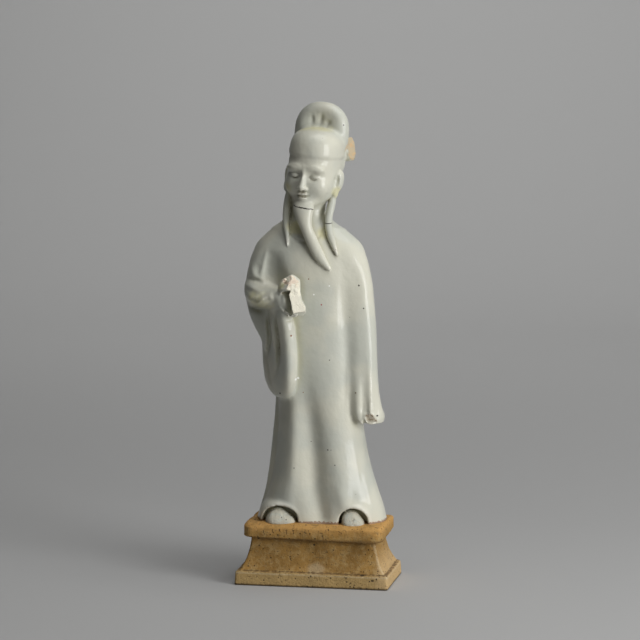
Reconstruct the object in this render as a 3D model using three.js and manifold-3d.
// A moulded porcelain figure of a standing scholar, with its plinth.
// Millimetres, +Z up. The figure faces -Y, and +X is on the right of a viewer who faces it.
// Left and right below are that viewer's. The origin is the centre of the plinth's underside.

import * as THREE from "three";
import { mergeVertices } from "three/addons/utils/BufferGeometryUtils.js";
import Module from "manifold-3d";

// Driving dimensions

const TOTAL_HEIGHT = 250;
const PLINTH_HEIGHT = 32;
const PLINTH_WIDTH = 80.8;
const PLINTH_DEPTH = 48;
// The figure was luted to its plinth. The two solids stay apart by this much.
const JOINT_GAP = 0.3;

// The plinth: a foot slab, a hollow-curved waist and a top slab with round corners.
const FOOT_SLAB_HEIGHT = 7.4;
const TOP_SLAB_HEIGHT = 7;
const TOP_SLAB_INSET = 3.6;
const WAIST_TOP_INSET = 7.6;
const WAIST_FOOT_INSET = 1.8;
const WAIST_CURVE = 0.8;
const WAIST_RINGS = 8;
const TOP_SLAB_NARROWING = 1;
const FOOT_CORNER = 1.8;
const WAIST_CORNER = 1.4;
const TOP_CORNER = 4;
const SLAB_EDGE = 0.8;

// The robe's cross-sections, from the hem up to the collar. Each is a rounded oblong:
// its height, its centre, its half width and half depth, and how square it is (2 is an ellipse).
const ROBE = [
  { z: PLINTH_HEIGHT, x: 1.1, y: 3.0, wide: 34.4, deep: 17.8, square: 2.7 },
  { z: 39, x: 1.2, y: 2.8, wide: 32.6, deep: 17.4, square: 2.7 },
  { z: 47, x: 1.0, y: 2.4, wide: 30.2, deep: 16.9, square: 2.6 },
  { z: 58, x: 0.4, y: 1.8, wide: 27.6, deep: 16.4, square: 2.5 },
  { z: 73, x: -0.3, y: 1.0, wide: 24.9, deep: 16.0, square: 2.4 },
  { z: 95, x: -0.6, y: 0.2, wide: 23.0, deep: 16.0, square: 2.3 },
  { z: 122, x: -1.6, y: -0.6, wide: 23.0, deep: 16.4, square: 2.3 },
  { z: 148, x: -3.4, y: -0.8, wide: 25.6, deep: 16.2, square: 2.3 },
  { z: 164, x: -4.6, y: -0.6, wide: 28.6, deep: 15.2, square: 2.3 },
  { z: 174, x: -5.2, y: -0.2, wide: 27.0, deep: 13.4, square: 2.2 },
  { z: 182, x: -5.8, y: 0.2, wide: 22.2, deep: 11.2, square: 2.1 },
  { z: 188, x: -6.0, y: 0.6, wide: 15.4, deep: 9.0, square: 2.0 },
  { z: 192, x: -5.4, y: 0.8, wide: 9.4, deep: 7.6, square: 2.0 },
];

// Folds that run down the robe's front: where each starts and ends, how wide and how deep it is.
const ROBE_FOLDS = [
  { top: 124, xTop: 1.0, xFoot: 5.6, reach: 5.0, depth: 4.0 },
  { top: 112, xTop: -15.0, xFoot: -17.5, reach: 3.6, depth: 2.0 },
  { top: 100, xTop: 20.0, xFoot: 28.0, reach: 3.0, depth: 1.4 },
];
// The share of a fold's length over which it grows to its full depth.
const FOLD_GROWTH = 0.6;

// The right arm hangs at the robe's side: sections from the flared cuff to the shoulder.
const HANGING_ARM = [
  { z: 85.4, x: 26.0, y: -1.6, wide: 8.0, deep: 10.0, square: 2.2 },
  { z: 91, x: 25.2, y: -1.8, wide: 7.9, deep: 10.2, square: 2.2 },
  { z: 101, x: 24.0, y: -2.0, wide: 7.4, deep: 9.8, square: 2.2 },
  { z: 122, x: 22.8, y: -2.0, wide: 7.6, deep: 10.0, square: 2.2 },
  { z: 147, x: 20.6, y: -1.4, wide: 8.1, deep: 10.2, square: 2.2 },
  { z: 160, x: 19.2, y: -0.6, wide: 8.3, deep: 9.8, square: 2.1 },
  { z: 170, x: 17.2, y: 0, wide: 8.4, deep: 8.8, square: 2.0 },
  { z: 178, x: 13.6, y: 0.4, wide: 8.2, deep: 7.0, square: 2.0 },
  { z: 183.5, x: 9.0, y: 0.6, wide: 5.4, deep: 4.4, square: 2.0 },
];
// The left arm is bent: its upper half from the elbow to the shoulder, then the forearm, which is
// swept forward to the fist.
const BENT_ARM = [
  { z: 134, x: -26.2, y: -5.4, wide: 4.2, deep: 4.6, square: 2.0 },
  { z: 139.5, x: -27.8, y: -4.8, wide: 7.4, deep: 8.2, square: 2.0 },
  { z: 147, x: -29.4, y: -3.0, wide: 8.7, deep: 9.0, square: 2.1 },
  { z: 155, x: -30.0, y: -2.4, wide: 8.8, deep: 9.4, square: 2.1 },
  { z: 164, x: -29.2, y: -1.2, wide: 8.6, deep: 9.4, square: 2.0 },
  { z: 172, x: -27.0, y: -0.2, wide: 8.4, deep: 8.4, square: 2.0 },
  { z: 178, x: -24.2, y: 0.4, wide: 8.2, deep: 7.0, square: 2.0 },
  { z: 183.5, x: -19.0, y: 0.6, wide: 6.0, deep: 4.4, square: 2.0 },
];
// A swept piece's station is a point on its centre line, a half width and a half depth.
const FOREARM = [
  { at: [-28.0, -3.4, 151.0], wide: 10.6, deep: 9.4 },
  { at: [-24.4, -10.8, 149.4], wide: 9.6, deep: 8.4 },
  { at: [-19.2, -17.8, 149.6], wide: 7.6, deep: 6.8 },
  { at: [-13.0, -23.6, 151.4], wide: 5.6, deep: 5.2 },
];
// The sleeve that hangs from the raised forearm: sections of a slab that stands at a slant.
const SLEEVE_SLANT = THREE.MathUtils.degToRad(-41);
const HANGING_SLEEVE = [
  { z: 97.6, x: -17.6, y: -10.6, wide: 4.6, deep: 2.0, square: 2.0 },
  { z: 99.6, x: -17.6, y: -10.8, wide: 9.0, deep: 4.4, square: 2.1 },
  { z: 104, x: -17.8, y: -10.9, wide: 12.6, deep: 6.0, square: 2.3 },
  { z: 112, x: -18.0, y: -11.2, wide: 14.2, deep: 6.6, square: 2.4 },
  { z: 124, x: -18.4, y: -11.8, wide: 15.0, deep: 6.8, square: 2.4 },
  { z: 136, x: -19.8, y: -12.4, wide: 15.8, deep: 6.8, square: 2.4 },
  { z: 147, x: -21.6, y: -12.4, wide: 16.6, deep: 6.4, square: 2.3 },
];
// Two grooves run down that sleeve's outer face and swing outwards at the foot. They lie at these
// distances from the slab's middle.
const GROOVE_TOP = 146;
const SLEEVE_GROOVES = [
  { top: -1.0, low: -4.0, foot: 108, reach: 1.7, depth: 1.6 },
  { top: 6.0, low: 3.5, foot: 103, reach: 1.9, depth: 1.8 },
];
// The cuff of the hanging arm is gathered into rounded scallops below this height.
const CUFF = { top: 106, scallops: 5, depth: 0.8 };

// Beard and side locks
const BEARD = [
  { at: [-5.4, -10.6, 200.0], wide: 4.6, deep: 2.6 },
  { at: [-5.6, -12.8, 196.8], wide: 5.8, deep: 3.4 },
  { at: [-5.2, -13.6, 191.6], wide: 4.6, deep: 3.4 },
  { at: [-4.0, -13.8, 186.0], wide: 3.3, deep: 3.0 },
  { at: [-1.6, -14.0, 180.4], wide: 3.2, deep: 2.6 },
  { at: [1.6, -14.6, 174.8], wide: 3.1, deep: 2.4 },
  { at: [5.0, -15.2, 169.8], wide: 2.5, deep: 2.0 },
  { at: [9.6, -15.0, 164.6], wide: 0.8, deep: 0.9 },
];
const RIGHT_LOCK = [
  { at: [8.2, -1.2, 204.6], wide: 1.5, deep: 1.8 },
  { at: [7.2, -3.2, 198.0], wide: 2.1, deep: 2.1 },
  { at: [6.2, -6.6, 190.6], wide: 1.9, deep: 1.9 },
  { at: [7.0, -9.4, 184.4], wide: 1.9, deep: 1.8 },
  { at: [9.2, -11.4, 178.8], wide: 1.7, deep: 1.6 },
  { at: [12.0, -12.8, 172.0], wide: 0.6, deep: 0.7 },
];
const LEFT_LOCK = [
  { at: [-15.4, -3.0, 206.0], wide: 1.5, deep: 1.8 },
  { at: [-16.6, -4.4, 198.6], wide: 2.0, deep: 2.2 },
  { at: [-16.4, -7.4, 191.0], wide: 2.0, deep: 2.1 },
  { at: [-15.2, -9.8, 184.4], wide: 1.7, deep: 1.8 },
  { at: [-14.2, -12.0, 176.6], wide: 0.6, deep: 0.8 },
];

// The head and cap are made about the head's centre, facing -Y. Then the head leans towards +X
// and turns its face towards -X, by these degrees.
const HEAD_CENTRE = [-2.4, -0.8, 213.6];
const HEAD_LEAN = 4.5;
const HEAD_TURN = -8;
const HEAD_HALF = [13.2, 14.2, 18.0];
const JAW_NARROWING = 0.24;
const CHIN = { at: [0, -7.0, -12.4], half: [7.6, 6.0, 5.6] };
const NOSE = { at: [0, -13.2, -2.6], half: [1.9, 2.6, 4.4] };
const EAR = { side: 12.6, y: 2.0, z: -4.4, half: [1.9, 3.4, 6.4] };
// The neck stays in the figure's frame.
const NECK = [
  { z: 184, x: -5.2, y: 0.8, wide: 8.6, deep: 8.4, square: 2 },
  { z: 204, x: -4.0, y: 0.4, wide: 8.0, deep: 8.4, square: 2 },
];
// The cap has a low crown in front and a tall lobe behind, scooped out on its front face. A wing
// stood out on each side of the lobe, and only its root is left.
const CROWN = [
  { z: 8.4, x: 0, y: 0.4, wide: 13.2, deep: 14.6, square: 2.2 },
  { z: 10.0, x: 0, y: 0.4, wide: 13.8, deep: 15.2, square: 2.2 },
  { z: 15.0, x: 0.2, y: 0.6, wide: 14.0, deep: 14.8, square: 2.3 },
  { z: 20.0, x: 0.2, y: 0.8, wide: 13.4, deep: 13.6, square: 2.3 },
  { z: 22.6, x: 0, y: 1.4, wide: 11.6, deep: 11.0, square: 2.2 },
  { z: 24.0, x: 0, y: 3.4, wide: 7.0, deep: 6.4, square: 2.0 },
];
const LOBE_TOP = TOTAL_HEIGHT - HEAD_CENTRE[2];
const LOBE = [
  { z: -2, x: 0, y: 6.0, wide: 11.0, deep: 6.8, square: 2.1 },
  { z: 8, x: 0, y: 7.4, wide: 13.4, deep: 7.2, square: 2.2 },
  { z: 20, x: 0, y: 8.4, wide: 15.0, deep: 6.8, square: 2.3 },
  { z: 26, x: 0, y: 8.6, wide: 14.6, deep: 6.2, square: 2.3 },
  { z: 31, x: 0, y: 8.4, wide: 12.3, deep: 5.4, square: 2.2 },
  { z: 34.6, x: 0, y: 8.0, wide: 8.6, deep: 4.2, square: 2.1 },
  { z: LOBE_TOP, x: 0, y: 7.8, wide: 3.4, deep: 1.8, square: 2.0 },
];
const LOBE_SCOOP = { at: [0, -0.4, 27.0], half: [11.4, 6.4, 7.6] };
const WING_STUMP = {
  y: 10.6,
  z: 12.4,
  high: 5.8,
  deep: 3.8,
  reach: { right: 16.6, left: 15.2 },
  root: { inward: 9, back: 1.8, lower: 2.4, high: 4.2, deep: 3.4 },
};

// The hand is a loose fist in the mouth of the sleeve. What it held is broken off flat.
const FIST = { at: [-12.0, -24.0, 151.6], half: [5.0, 4.4, 7.0] };
const KNUCKLES = { at: [-8.4, -24.0, 154.6], half: [4.6, 4.2, 7.0] };
const BREAK = { at: [-5.8, -25.2, 149.8], size: [6.2, 5.0, 15.0], tilt: -8, turn: 14 };

// The shoe toes look out under arches in the hem.
const SHOES = [
  { x: -17.6, y: -10.6, half: [7.6, 6.4, 8.4] },
  { x: 21.4, y: -10.2, half: [6.4, 6.4, 8.4] },
];
const ARCH_GAP = 1.7;

// How finely each kind of form is divided: faces around it, and rings along it
const ROBE_MESH = { around: 44, along: 26 };
const CUFFED_ARM_MESH = { around: 28, along: 11 };
const SLEEVE_MESH = { around: 26, along: 11 };
const ARM_MESH = { around: 16, along: 11 };
const FOREARM_MESH = { around: 16, along: 7 };
const BEARD_MESH = { around: 12, along: 10 };
const LOCK_MESH = { around: 9, along: 10 };
const HEAD_MESH = { around: 20, along: 12 };
const CAP_MESH = { around: 22, along: 12 };
const CROWN_MESH = { around: 22, along: 8 };
const SMALL_MESH = { around: 12, along: 8 };
const WING_MESH = { around: 12, along: 3 };
const SHOE_MESH = { around: 16, along: 10 };

// Solids by manifold-3d, which only joins and cuts here

const wasm = await Module();
wasm.setup();

function solidFrom(geometry) {
  const bare = geometry.clone();
  bare.deleteAttribute("normal");
  bare.deleteAttribute("uv");
  const merged = mergeVertices(bare, 1e-3);
  return new wasm.Manifold(
    new wasm.Mesh({
      numProp: 3,
      vertProperties: new Float32Array(merged.attributes.position.array),
      triVerts: new Uint32Array(merged.index.array),
    }),
  );
}

function geometryFrom(solid) {
  const mesh = solid.getMesh();
  const geometry = new THREE.BufferGeometry();
  geometry.setAttribute("position", new THREE.BufferAttribute(new Float32Array(mesh.vertProperties), 3));
  geometry.setIndex(new THREE.BufferAttribute(new Uint32Array(mesh.triVerts), 1));
  geometry.computeVertexNormals();
  return geometry;
}

function joined(solids) {
  return solids.reduce((all, next) => all.add(next));
}

// A smooth value between stations, by Catmull-Rom on the station number.
function along(stations, t, read) {
  const last = stations.length - 1;
  const place = Math.min(t * last, last - 1e-9);
  const i = Math.floor(place);
  const f = place - i;
  const v = [-1, 0, 1, 2].map((k) => read(stations[Math.min(Math.max(i + k, 0), last)]));
  const slopeIn = (v[2] - v[0]) / 2;
  const slopeOut = (v[3] - v[1]) / 2;
  const f2 = f * f;
  const f3 = f2 * f;
  return (
    v[1] * (2 * f3 - 3 * f2 + 1) +
    slopeIn * (f3 - 2 * f2 + f) +
    v[2] * (3 * f2 - 2 * f3) +
    slopeOut * (f3 - f2)
  );
}

// How far the edge of a rounded oblong lies from its centre, as a share of an ellipse's.
function oblong(angle, square) {
  const c = Math.abs(Math.cos(angle));
  const s = Math.abs(Math.sin(angle));
  return 1 / (c ** square + s ** square) ** (1 / square);
}

// A closed cylinder whose rings are moved: place(t, angle, share) gives the point for a ring's
// place t from 0 to 1, the angle round it, and the share of its radius, 0 at the middle of an end.
function movedCylinder(mesh, place) {
  const geometry = new THREE.CylinderGeometry(1, 1, 1, mesh.around, mesh.along);
  const position = geometry.attributes.position;
  for (let i = 0; i < position.count; i++) {
    const x = position.getX(i);
    const z = position.getZ(i);
    const point = place(position.getY(i) + 0.5, Math.atan2(-z, x), Math.hypot(x, z));
    position.setXYZ(i, point[0], point[1], point[2]);
  }
  return solidFrom(geometry);
}

// A stack of rounded oblongs, turned by slant about Z. carve(point) may move the points further.
function loft(sections, mesh, slant = 0, carve = (point) => point) {
  const c = Math.cos(slant);
  const s = Math.sin(slant);
  return movedCylinder(mesh, (t, angle, share) => {
    const read = (name) => along(sections, t, (section) => section[name]);
    const r = share * oblong(angle, read("square"));
    const u = read("wide") * r * Math.cos(angle);
    const v = read("deep") * r * Math.sin(angle);
    return carve([read("x") + u * c - v * s, read("y") + u * s + v * c, read("z")]);
  });
}

// A tapering limb or lock of hair along a smooth centre line. Its width lies towards across.
function sweep(stations, mesh, across = new THREE.Vector3(1, 0, 0)) {
  const curve = new THREE.CatmullRomCurve3(stations.map((s) => new THREE.Vector3(...s.at)));
  return movedCylinder(mesh, (t, angle, share) => {
    const middle = curve.getPoint(t);
    const tangent = curve.getTangent(t);
    const side = across.clone().addScaledVector(tangent, -across.dot(tangent)).normalize();
    const front = new THREE.Vector3().crossVectors(tangent, side);
    const wide = along(stations, t, (s) => s.wide) * share;
    const deep = along(stations, t, (s) => s.deep) * share;
    return middle
      .addScaledVector(side, wide * Math.cos(angle))
      .addScaledVector(front, deep * Math.sin(angle))
      .toArray();
  });
}

function ellipsoid({ at, half }, mesh = SMALL_MESH) {
  const geometry = new THREE.SphereGeometry(1, mesh.around, mesh.along);
  geometry.rotateX(Math.PI / 2);
  geometry.scale(...half);
  geometry.translate(...at);
  return solidFrom(geometry);
}

// The robe and its sleeves

// Pushes the outer face of the hanging sleeve inwards along its grooves.
function sleeveFolds([x, y, z]) {
  const c = Math.cos(SLEEVE_SLANT);
  const s = Math.sin(SLEEVE_SLANT);
  const middle = HANGING_SLEEVE[3];
  const alongSlab = (x - middle.x) * c + (y - middle.y) * s;
  const acrossSlab = (y - middle.y) * c - (x - middle.x) * s;
  if (acrossSlab >= 0) return [x, y, z];
  let pushed = 0;
  for (const groove of SLEEVE_GROOVES) {
    const down = THREE.MathUtils.clamp((GROOVE_TOP - z) / (GROOVE_TOP - groove.foot), 0, 1);
    const lies = THREE.MathUtils.lerp(groove.top, groove.low, down ** 3);
    const fade = THREE.MathUtils.smoothstep(z, groove.foot - 4, groove.foot + 8);
    pushed += groove.depth * fade * Math.exp(-(((alongSlab - lies) / groove.reach) ** 2));
  }
  return [x - pushed * s, y + pushed * c, z];
}

function cuffScallops([x, y, z]) {
  const mouth = HANGING_ARM[0];
  const grown = THREE.MathUtils.smoothstep(CUFF.top - z, 0, CUFF.top - mouth.z);
  const angle = Math.atan2(y - mouth.y, x - mouth.x);
  const out = CUFF.depth * grown * Math.cos(CUFF.scallops * angle);
  return [x + out * Math.cos(angle), y + out * Math.sin(angle), z];
}

function robeFolds([x, y, z]) {
  if (y >= 0) return [x, y, z];
  let pushed = 0;
  for (const fold of ROBE_FOLDS) {
    const down = THREE.MathUtils.clamp((fold.top - z) / (fold.top - PLINTH_HEIGHT), 0, 1);
    const middle = THREE.MathUtils.lerp(fold.xTop, fold.xFoot, down);
    const grown = THREE.MathUtils.smoothstep(down, 0, FOLD_GROWTH);
    pushed += fold.depth * grown * Math.exp(-(((x - middle) / fold.reach) ** 2));
  }
  return [x, y + Math.min(pushed, -y), z];
}

function robe() {
  return loft(ROBE, ROBE_MESH, 0, robeFolds);
}

function sleeves() {
  return joined([
    loft(HANGING_ARM, CUFFED_ARM_MESH, 0, cuffScallops),
    loft(BENT_ARM, ARM_MESH),
    sweep(FOREARM, FOREARM_MESH, new THREE.Vector3(0, 0, 1)),
    loft(HANGING_SLEEVE, SLEEVE_MESH, SLEEVE_SLANT, sleeveFolds),
  ]);
}

function hand() {
  const stub = new THREE.BoxGeometry(...BREAK.size);
  stub.rotateY(THREE.MathUtils.degToRad(BREAK.tilt));
  stub.rotateZ(THREE.MathUtils.degToRad(BREAK.turn));
  stub.translate(...BREAK.at);
  return joined([ellipsoid(FIST), ellipsoid(KNUCKLES), solidFrom(stub)]);
}

// The head and cap

function intoHeadFrame(solid) {
  return solid.rotate([0, HEAD_LEAN, HEAD_TURN]).translate(HEAD_CENTRE);
}

function skull() {
  const geometry = new THREE.SphereGeometry(1, HEAD_MESH.around, HEAD_MESH.along);
  geometry.rotateX(Math.PI / 2);
  const position = geometry.attributes.position;
  for (let i = 0; i < position.count; i++) {
    const z = position.getZ(i);
    const narrowing = 1 - JAW_NARROWING * Math.max(0, -z) ** 2;
    position.setXYZ(
      i,
      position.getX(i) * HEAD_HALF[0] * narrowing,
      position.getY(i) * HEAD_HALF[1] * narrowing,
      z * HEAD_HALF[2],
    );
  }
  return solidFrom(geometry);
}

// The break at the end of each wing is a flat face, so the stump is a short straight sweep.
function wingStump(side, reach) {
  const { y, z, high, deep, root } = WING_STUMP;
  const stations = [
    { at: [side * (reach - root.inward), y + root.back, z - root.lower], wide: root.deep, deep: root.high },
    { at: [side * reach, y, z], wide: deep, deep: high },
  ];
  return sweep(stations, WING_MESH, new THREE.Vector3(0, 1, 0));
}

function ear(side) {
  return ellipsoid({ at: [side * EAR.side, EAR.y, EAR.z], half: EAR.half });
}

function head() {
  const pieces = [
    skull(),
    ellipsoid(CHIN),
    ellipsoid(NOSE),
    ear(1),
    ear(-1),
    loft(LOBE, CAP_MESH).subtract(ellipsoid(LOBE_SCOOP)),
    loft(CROWN, CROWN_MESH),
    wingStump(1, WING_STUMP.reach.right),
    wingStump(-1, WING_STUMP.reach.left),
  ];
  return joined(pieces).rotate([0, HEAD_LEAN, HEAD_TURN]).translate(HEAD_CENTRE);
}

function hair() {
  return joined([sweep(BEARD, BEARD_MESH), sweep(RIGHT_LOCK, LOCK_MESH), sweep(LEFT_LOCK, LOCK_MESH)]);
}

// The shoes, each in the arch that it leaves in the hem

function shoeAt({ x, y, half }, grow) {
  const grown = half.map((h) => h + grow);
  return ellipsoid({ at: [x, y - grow, PLINTH_HEIGHT], half: grown }, SHOE_MESH);
}

function everythingBelow(height) {
  const geometry = new THREE.BoxGeometry(2 * PLINTH_WIDTH, 2 * PLINTH_WIDTH, height);
  geometry.translate(0, 0, height / 2);
  return solidFrom(geometry);
}

function scholar() {
  const arches = joined(SHOES.map((shoe) => shoeAt(shoe, ARCH_GAP)));
  const shoes = joined(SHOES.map((shoe) => shoeAt(shoe, 0)));
  const body = joined([robe(), sleeves(), hand(), loft(NECK, LOCK_MESH), head(), hair()]);
  return body.subtract(arches).add(shoes).subtract(everythingBelow(PLINTH_HEIGHT + JOINT_GAP));
}

// The plinth

function roundedRectangle(width, depth, corner) {
  const w = width / 2 - corner;
  const d = depth / 2 - corner;
  const shape = new THREE.Shape();
  shape.absarc(w, -d, corner, -Math.PI / 2, 0);
  shape.absarc(w, d, corner, 0, Math.PI / 2);
  shape.absarc(-w, d, corner, Math.PI / 2, Math.PI);
  shape.absarc(-w, -d, corner, Math.PI, 1.5 * Math.PI);
  shape.closePath();
  return shape;
}

// A slab with its upper and lower edges eased.
function slab(width, depth, corner, low, high) {
  const shape = roundedRectangle(width - 2 * SLAB_EDGE, depth - 2 * SLAB_EDGE, corner - SLAB_EDGE);
  const geometry = new THREE.ExtrudeGeometry(shape, {
    depth: high - low - 2 * SLAB_EDGE,
    bevelThickness: SLAB_EDGE,
    bevelSize: SLAB_EDGE,
    bevelSegments: 1,
    curveSegments: 4,
  });
  geometry.translate(0, 0, low + SLAB_EDGE);
  return solidFrom(geometry);
}

// The waist runs straight down from the top slab and swings out towards the foot.
function waist() {
  const low = FOOT_SLAB_HEIGHT - SLAB_EDGE;
  const height = PLINTH_HEIGHT - TOP_SLAB_HEIGHT + SLAB_EDGE - low;
  const width = PLINTH_WIDTH - 2 * WAIST_TOP_INSET;
  const depth = PLINTH_DEPTH - 2 * WAIST_TOP_INSET;
  const geometry = new THREE.ExtrudeGeometry(roundedRectangle(width, depth, WAIST_CORNER), {
    depth: height,
    steps: WAIST_RINGS,
    bevelEnabled: false,
    curveSegments: 3,
  });
  const position = geometry.attributes.position;
  for (let i = 0; i < position.count; i++) {
    const up = position.getZ(i) / height;
    const flare = (WAIST_TOP_INSET - WAIST_FOOT_INSET) * (1 - Math.sin((up * Math.PI) / 2) ** WAIST_CURVE);
    position.setXYZ(
      i,
      position.getX(i) * (1 + (2 * flare) / width),
      position.getY(i) * (1 + (2 * flare) / depth),
      position.getZ(i) + low,
    );
  }
  return solidFrom(geometry);
}

function plinth() {
  const topWidth = PLINTH_WIDTH - 2 * TOP_SLAB_INSET;
  const topDepth = PLINTH_DEPTH - TOP_SLAB_NARROWING;
  return joined([
    slab(PLINTH_WIDTH, PLINTH_DEPTH, FOOT_CORNER, 0, FOOT_SLAB_HEIGHT),
    waist(),
    slab(topWidth, topDepth, TOP_CORNER, PLINTH_HEIGHT - TOP_SLAB_HEIGHT, PLINTH_HEIGHT),
  ]);
}

// The scene graph

function named(name, solid, colour, roughness) {
  const material = new THREE.MeshStandardMaterial({ color: colour, roughness, metalness: 0 });
  const mesh = new THREE.Mesh(geometryFrom(solid), material);
  mesh.name = name;
  return mesh;
}

const figure = new THREE.Group();
figure.name = "porcelain_scholar";
figure.add(named("scholar", scholar(), 0xcfd2c4, 0.2));
figure.add(named("plinth", plinth(), 0xb08a55, 0.85));

export default figure;
